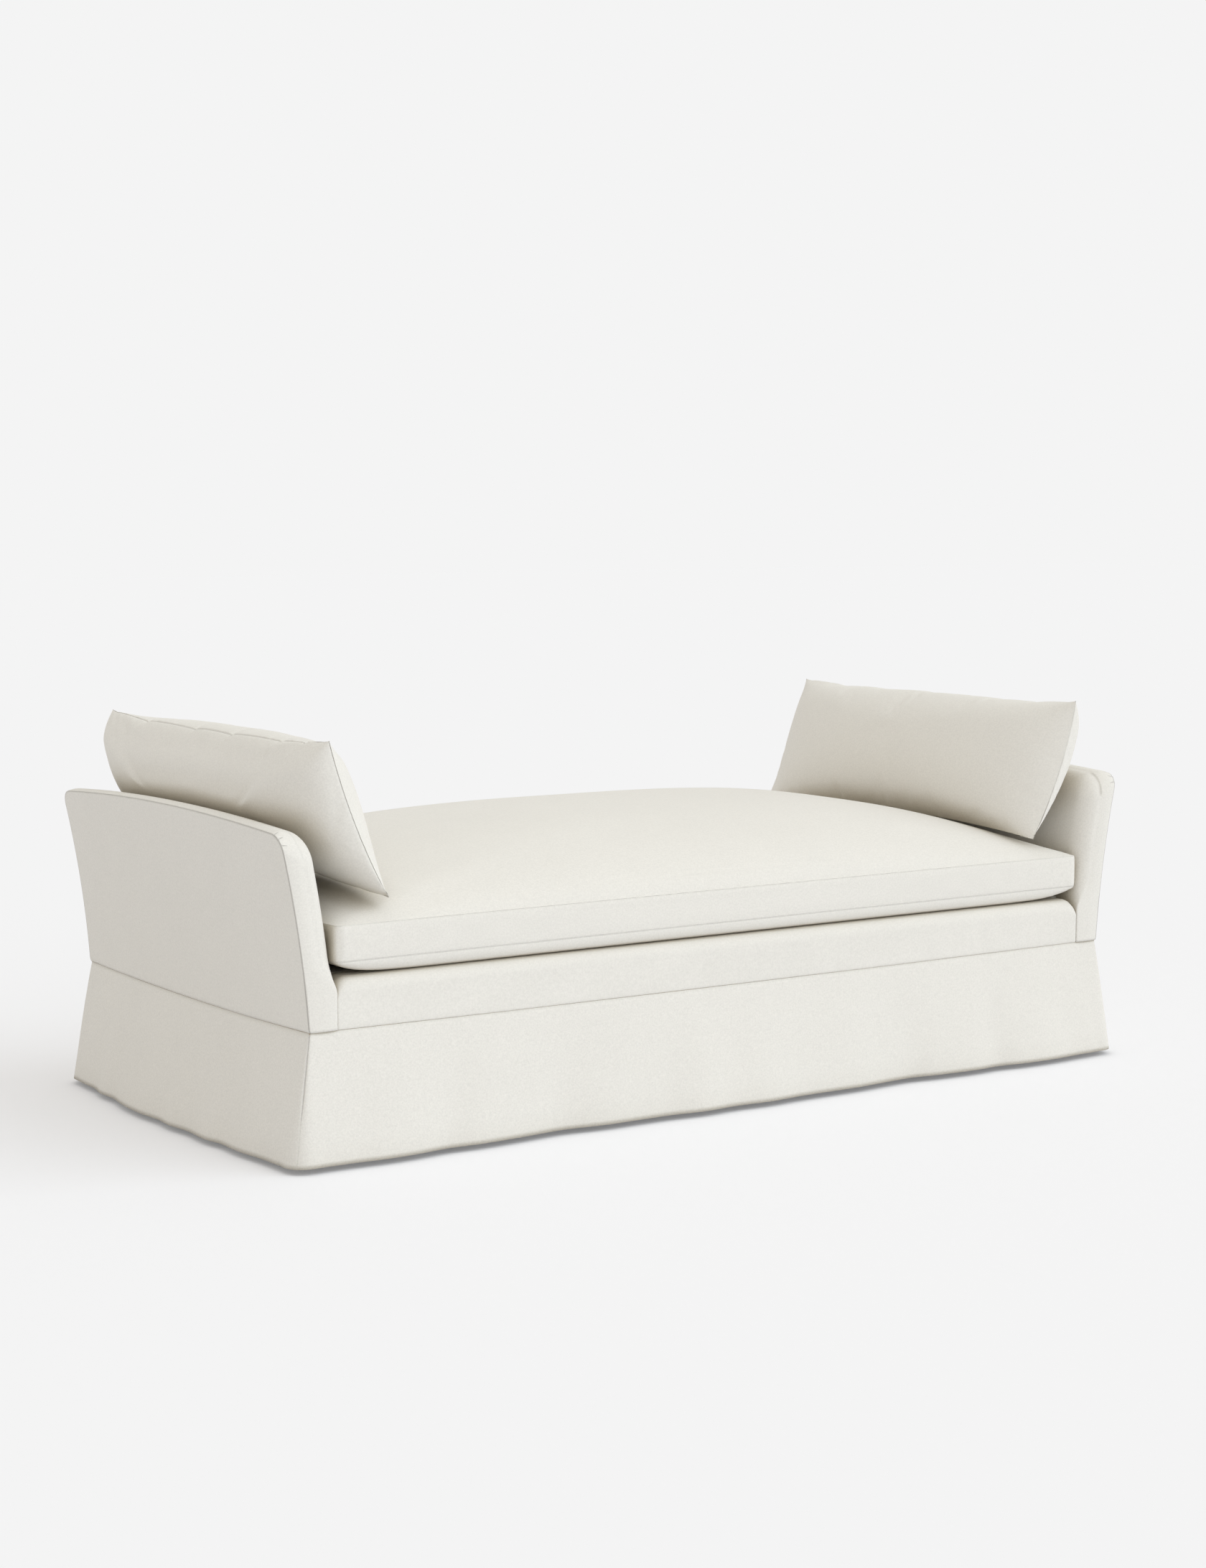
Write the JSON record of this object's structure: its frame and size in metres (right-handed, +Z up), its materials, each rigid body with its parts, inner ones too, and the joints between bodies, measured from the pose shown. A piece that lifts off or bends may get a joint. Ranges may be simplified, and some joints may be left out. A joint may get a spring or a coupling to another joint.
{
  "type": "backless divan",
  "caption": "Backless divan with two flared upholstered ends, one boxed bench cushion with a high crown, two knife-edge bolsters and a flat skirt that reaches almost to the floor.",
  "frame": {"origin": "on the floor, under the middle of the divan", "axes": "+X along the length towards the right end, -Y towards the front, +Z up"},
  "size_m": [2.1892, 1.072, 0.814],
  "materials": {
    "cover_linen": "matte",
    "skirt_linen": "matte",
    "deck_cloth": "matte",
    "frame_timber": "matte",
    "leg_timber": "satin",
    "plywood": "matte",
    "foam": "matte",
    "wadding": "matte",
    "felt": "matte",
    "dust_cloth": "matte",
    "spring_steel": "satin",
    "zinc_steel": "satin",
    "glide_plastic": "matte",
    "zip_tape": "matte",
    "zip_metal": "satin"
  },
  "bodies": {
    "frame": {"left_arm_cover": "cover_linen", "right_arm_cover": "cover_linen", "front_band_cover": "cover_linen", "back_band_cover": "cover_linen", "front_skirt": "skirt_linen", "back_skirt": "skirt_linen", "left_skirt": "skirt_linen", "right_skirt": "skirt_linen", "deck_cover": "deck_cloth", "front_rail": "frame_timber", "back_rail": "frame_timber", "left_end_rail": "frame_timber", "right_end_rail": "frame_timber", "left_cross_rail": "frame_timber", "centre_cross_rail": "frame_timber", "right_cross_rail": "frame_timber", "corner_blocks": "frame_timber", "left_arm_bottom_rail": "frame_timber", "right_arm_bottom_rail": "frame_timber", "left_arm_top_rail": "frame_timber", "right_arm_top_rail": "frame_timber", "skirt_battens": "frame_timber", "front_right_leg": "leg_timber", "back_right_leg": "leg_timber", "front_left_leg": "leg_timber", "back_left_leg": "leg_timber", "centre_legs": "leg_timber", "left_arm_ribs": "plywood", "right_arm_ribs": "plywood", "left_arm_inner_board": "plywood", "right_arm_inner_board": "plywood", "left_arm_outer_board": "plywood", "right_arm_outer_board": "plywood", "deck_foam": "foam", "front_edge_roll": "foam", "back_edge_roll": "foam", "left_arm_padding": "wadding", "right_arm_padding": "wadding", "front_band_padding": "wadding", "back_band_padding": "wadding", "spring_felt": "felt", "dust_cover": "dust_cloth", "seat_springs": "spring_steel", "spring_tie_wires": "spring_steel", "spring_clips": "zinc_steel", "leg_bolts": "zinc_steel", "arm_bolts": "zinc_steel", "arm_bolt_washers": "zinc_steel", "arm_tee_nuts": "zinc_steel", "leg_glides": "glide_plastic"},
    "seat_cushion": {"seat_cushion_cover": "cover_linen", "seat_cushion_wrap": "wadding", "seat_cushion_core": "foam", "seat_cushion_zip": "zip_tape"},
    "zip_slider": {"seat_zip_slider": "zip_metal"},
    "left_bolster": {"left_bolster_cover": "cover_linen", "left_bolster_fill": "wadding"},
    "right_bolster": {"right_bolster_cover": "cover_linen", "right_bolster_fill": "wadding"}
  },
  "joints": [
    {"name": "seat_cushion_lift", "type": "slide", "parent": "frame", "child": "seat_cushion", "axis": [0, 0, 1], "range_m": [0, 0.3]},
    {"name": "left_bolster_lift", "type": "slide", "parent": "seat_cushion", "child": "left_bolster", "axis": [0, 0, 1], "range_m": [0, 0.35]},
    {"name": "right_bolster_lift", "type": "slide", "parent": "seat_cushion", "child": "right_bolster", "axis": [0, 0, 1], "range_m": [0, 0.35]},
    {"name": "zip_slide", "type": "slide", "parent": "seat_cushion", "child": "zip_slider", "axis": [1, 0, 0], "range_m": [0, 0.86]}
  ]
}
